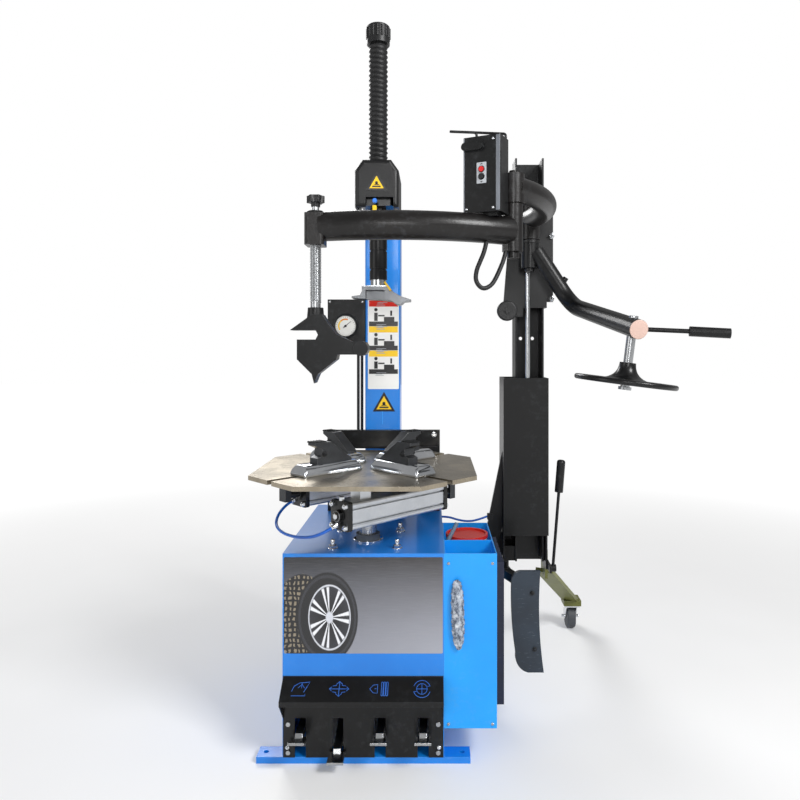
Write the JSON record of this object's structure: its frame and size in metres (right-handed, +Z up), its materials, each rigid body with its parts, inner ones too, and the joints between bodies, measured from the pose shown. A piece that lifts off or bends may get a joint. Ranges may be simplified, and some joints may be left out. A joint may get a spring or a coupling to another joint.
{
  "type": "tire changer machine",
  "caption": "Floor-standing tyre changer: octagonal clamping turntable, tilting column with mounting tool, swinging helper arm, wheel lifting disc, side bead breaker and foot pedals.",
  "frame": {"origin": "on the floor, on the turntable's spin axis", "axes": "+X to the operator's right, +Y to the back of the machine, +Z up"},
  "size_m": [1.2568, 1.1532, 2.163],
  "materials": {
    "blue_paint": "satin",
    "bright_blue_paint": "satin",
    "black_paint": "satin",
    "arm_paint": "satin",
    "brushed_steel": "brushed",
    "chrome": "polished",
    "aluminium": "anodised",
    "cast_iron": "cast",
    "black_plastic": "matte",
    "red_plastic": "gloss",
    "white_plastic": "matte",
    "sleeve_plastic": "gloss",
    "rubber": "matte",
    "hose_rubber": "matte",
    "blue_hose": "gloss",
    "olive_paint": "satin",
    "brush_handle": "matte"
  },
  "bodies": {
    "machine": {"base_frame": "blue_paint", "cabinet_shell": "blue_paint", "pedal_cover": "black_paint", "gearbox": "cast_iron", "drive_motor": "cast_iron", "tilt_bracket": "black_paint", "pins_and_bolts": "chrome", "side_box": "bright_blue_paint", "bucket": "white_plastic", "bucket_lid": "red_plastic", "cleaning_brush": "brush_handle", "tire_lever": "sleeve_plastic", "rubber_pad": "rubber", "assist_housing": "black_paint", "assist_mast": "black_paint", "outrigger_bar": "olive_paint", "air_hose": "hose_rubber"},
    "turntable": {"spindle": "brushed_steel", "turntable_plate": "brushed_steel", "clamp_cylinder_1": "aluminium", "clamp_cylinder_2": "aluminium", "coupling_hose": "blue_hose"},
    "column": {"column_tube": "blue_paint", "head_arm": "arm_paint", "head_cover": "black_plastic", "gauge_box": "black_paint", "pressure_gauge": "black_plastic", "bellows": "rubber"},
    "tool_shaft": {"hex_shaft": "black_paint", "shaft_cap": "black_plastic", "mount_head": "brushed_steel"},
    "tilt_barrel": {"tilt_cylinder": "black_paint"},
    "tilt_piston": {"tilt_rod": "chrome"},
    "carriage": {"assist_carriage": "black_paint"},
    "roller": {"press_roller": "black_plastic"},
    "link": {"link_arm": "arm_paint"},
    "boom": {"boom_arm": "arm_paint", "control_box": "black_paint", "boom_hose": "hose_rubber"},
    "red_key": {"red_button": "red_plastic"},
    "black_key": {"black_button": "black_plastic"},
    "screw": {"press_screw": "black_paint"},
    "press": {"press_tool": "black_paint"},
    "lifter": {"lifter_arm": "black_paint"},
    "lift_stem": {"lifter_shaft": "chrome"},
    "disc": {"lifter_disc": "black_plastic"},
    "bead": {"bead_arm": "black_paint", "bead_blade": "rubber"},
    "lever": {"bead_lever": "black_paint"},
    "fork": {"castor_fork": "brushed_steel"},
    "wheel": {"castor_wheel": "rubber"},
    "pedal_body_1": {"pedal_1": "brushed_steel"},
    "jaw_1": {"clamp_jaw_1": "chrome"},
    "pedal_body_2": {"pedal_2": "brushed_steel"},
    "jaw_2": {"clamp_jaw_2": "chrome"},
    "pedal_body_3": {"pedal_3": "brushed_steel"},
    "jaw_3": {"clamp_jaw_3": "chrome"},
    "pedal_body_4": {"pedal_4": "brushed_steel"},
    "jaw_4": {"clamp_jaw_4": "chrome"}
  },
  "joints": [
    {"name": "pedal_1_press", "type": "hinge", "parent": "machine", "child": "pedal_body_1", "pos_m": [-0.171, 0.02, 0.084], "axis": [1, 0, 0], "range_deg": [0, 14], "stiffness_Nm_per_rad": 8, "springref_deg": -17.19},
    {"name": "pedal_2_press", "type": "hinge", "parent": "machine", "child": "pedal_body_2", "pos_m": [-0.069, 0.02, 0.084], "axis": [1, 0, 0], "range_deg": [-14, 0]},
    {"name": "pedal_3_press", "type": "hinge", "parent": "machine", "child": "pedal_body_3", "pos_m": [0.046, 0.02, 0.084], "axis": [1, 0, 0], "range_deg": [0, 14], "stiffness_Nm_per_rad": 8, "springref_deg": -17.19},
    {"name": "pedal_4_press", "type": "hinge", "parent": "machine", "child": "pedal_body_4", "pos_m": [0.163, 0.02, 0.084], "axis": [1, 0, 0], "range_deg": [0, 14], "stiffness_Nm_per_rad": 8, "springref_deg": -17.19},
    {"name": "turntable_spin", "type": "hinge", "parent": "machine", "child": "turntable", "pos_m": [0, 0, 0.776], "axis": [0, 0, 1], "continuous": true},
    {"name": "jaw_1_slide", "type": "slide", "parent": "turntable", "child": "jaw_1", "axis": [0.7071, 0.7071, 0], "range_m": [0, 0.085]},
    {"name": "jaw_2_slide", "type": "slide", "parent": "turntable", "child": "jaw_2", "axis": [-0.7071, 0.7071, 0], "range_m": [0, 0.085]},
    {"name": "jaw_3_slide", "type": "slide", "parent": "turntable", "child": "jaw_3", "axis": [-0.7071, -0.7071, 0], "range_m": [0, 0.085]},
    {"name": "jaw_4_slide", "type": "slide", "parent": "turntable", "child": "jaw_4", "axis": [0.7071, -0.7071, 0], "range_m": [0, 0.085]},
    {"name": "column_tilt", "type": "hinge", "parent": "machine", "child": "column", "pos_m": [0.015, 0.436, 0.64], "axis": [-1, 0, 0], "range_deg": [0, 25]},
    {"name": "tilt_barrel_swing", "type": "hinge", "parent": "machine", "child": "tilt_barrel", "pos_m": [0.015, 0.525, 0.25], "axis": [-1, 0, 0], "range_deg": [-1, 7]},
    {"name": "tilt_piston_slide", "type": "slide", "parent": "tilt_barrel", "child": "tilt_piston", "axis": [0, 0.0392, 0.9992], "range_m": [-0.06, 0.002]},
    {"name": "tool_shaft_slide", "type": "slide", "parent": "column", "child": "tool_shaft", "axis": [0, 0, -1], "range_m": [0, 0.28], "deforming": ["bellows"]},
    {"name": "carriage_lift", "type": "slide", "parent": "machine", "child": "carriage", "axis": [0, 0, 1], "range_m": [-0.15, 0.11]},
    {"name": "roller_spin", "type": "hinge", "parent": "carriage", "child": "roller", "pos_m": [0.44, 0.2984, 1.258], "axis": [0, 1, 0], "continuous": true},
    {"name": "link_swing", "type": "hinge", "parent": "carriage", "child": "link", "pos_m": [0.512, 0.267, 1.546], "axis": [0, 0, 1], "range_deg": [-8, 70]},
    {"name": "boom_swing", "type": "hinge", "parent": "link", "child": "boom", "pos_m": [0.407, -0.149, 1.447], "axis": [0, 0, 1], "range_deg": [-5, 60]},
    {"name": "press_height", "type": "slide", "parent": "boom", "child": "screw", "axis": [0, 0, 1], "range_m": [0, 0.1]},
    {"name": "press_swivel", "type": "hinge", "parent": "screw", "child": "press", "pos_m": [-0.116, -0.218, 1.222], "axis": [0, 0, 1], "range_deg": [-20, 180]},
    {"name": "lifter_swing", "type": "hinge", "parent": "carriage", "child": "lifter", "pos_m": [0.512, 0.267, 1.437], "axis": [0, 0, 1], "range_deg": [-60, 30]},
    {"name": "bead_swing", "type": "hinge", "parent": "machine", "child": "bead", "pos_m": [0.3, 0.3, 0.433], "axis": [0, 0, 1], "range_deg": [-5, 35]},
    {"name": "bead_lever_pull", "type": "hinge", "parent": "machine", "child": "lever", "pos_m": [0.594, 0.3, 0.392], "axis": [1, 0, 0], "range_deg": [-10, 25]},
    {"name": "castor_swivel", "type": "hinge", "parent": "machine", "child": "fork", "pos_m": [0.748, 0.753, 0.1], "axis": [0, 0, 1], "continuous": true},
    {"name": "castor_roll", "type": "hinge", "parent": "fork", "child": "wheel", "pos_m": [0.748, 0.777, 0.045], "axis": [1, 0, 0], "continuous": true},
    {"name": "red_button_press", "type": "slide", "parent": "boom", "child": "red_key", "axis": [0.4226, 0.9063, 0], "range_m": [0, 0.0035], "stiffness_N_per_m": 400, "springref_m": -0.002},
    {"name": "black_button_press", "type": "slide", "parent": "boom", "child": "black_key", "axis": [0.4226, 0.9063, 0], "range_m": [0, 0.0035], "stiffness_N_per_m": 400, "springref_m": -0.002},
    {"name": "lift_stem_slide", "type": "slide", "parent": "lifter", "child": "lift_stem", "axis": [0.125, 0, 0.9922], "range_m": [0, 0.05]},
    {"name": "disc_spin", "type": "hinge", "parent": "lift_stem", "child": "disc", "pos_m": [0.70307, -0.19822, 1.09269], "axis": [0.125, 0, 0.9922], "continuous": true}
  ],
  "couplings": [
    {"joint": "jaw_2_slide", "follows": "jaw_1_slide", "ratio": 1},
    {"joint": "jaw_3_slide", "follows": "jaw_1_slide", "ratio": 1},
    {"joint": "jaw_4_slide", "follows": "jaw_1_slide", "ratio": 1},
    {"joint": "tilt_barrel_swing", "follows": "column_tilt", "ratio": 0.2146},
    {"joint": "tilt_piston_slide", "follows": "column_tilt", "m_per_rad": -0.1231}
  ]
}
